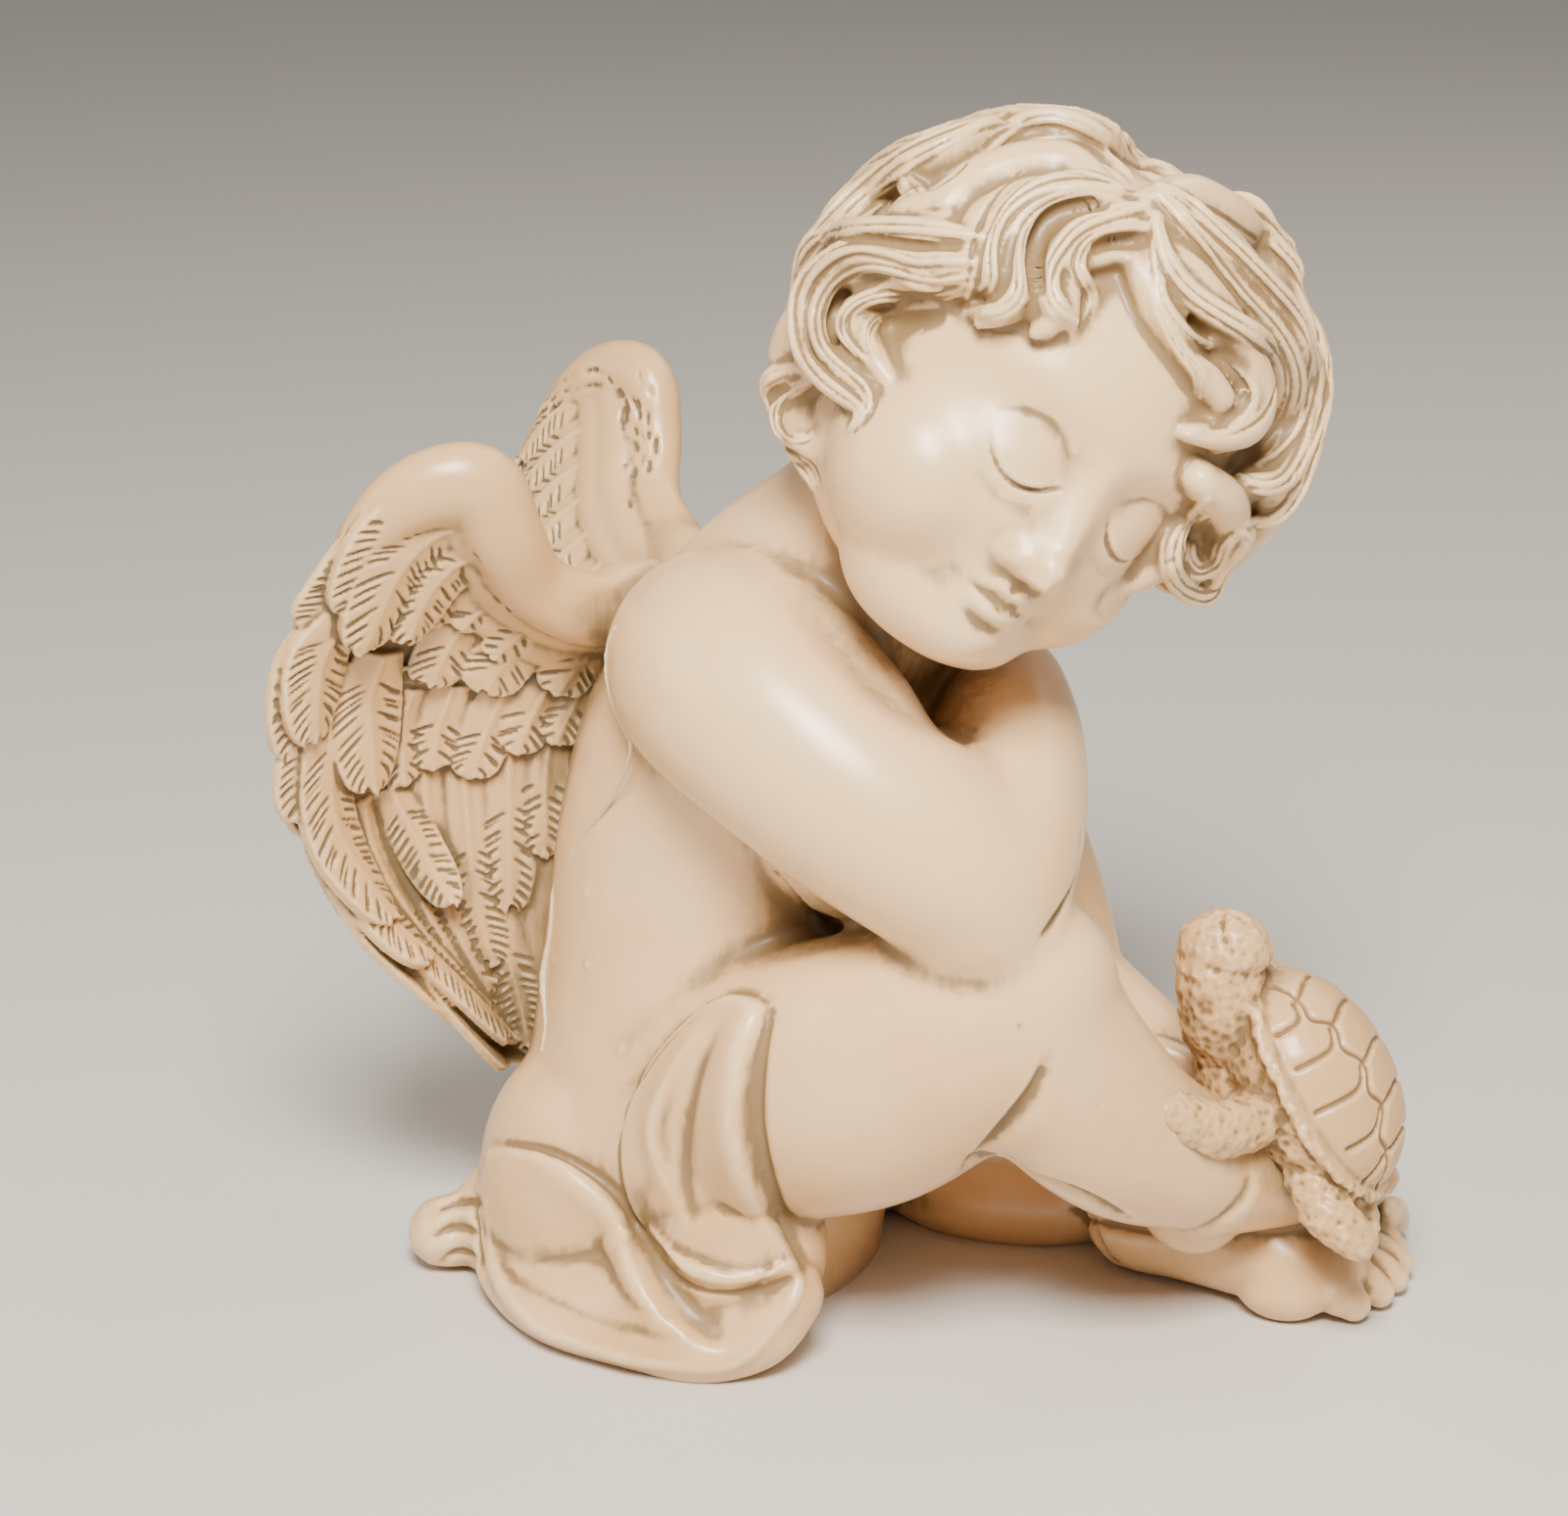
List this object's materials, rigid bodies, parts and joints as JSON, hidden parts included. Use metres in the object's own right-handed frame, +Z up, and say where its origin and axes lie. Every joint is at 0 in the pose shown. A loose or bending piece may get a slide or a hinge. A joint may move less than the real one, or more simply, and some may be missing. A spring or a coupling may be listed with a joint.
{
  "type": "cherub statue",
  "caption": "Seated winged cherub asleep with folded arms, cloth round its hips and a small turtle on its crossed ankles, cast in ivory resin with a brown wash.",
  "frame": {"origin": "on the flat underside of the seat, below the middle of the hips", "axes": "+X the way the body and legs point, +Z up, -Y the figure's right side, to which its face turns"},
  "size_m": [0.2192, 0.131, 0.2439],
  "materials": {
    "ivory_resin": "satin cast resin in ivory, brown wash left in the hollows",
    "wing_resin": "satin cast resin in ivory, heavier brown wash between the feathers",
    "turtle_resin": "dull cast resin, tan wash over rough skin and a grooved shell"
  },
  "bodies": {
    "root": {"figure": "ivory_resin", "right_wing": "wing_resin", "left_wing": "wing_resin", "turtle": "turtle_resin"}
  },
  "joints": []
}
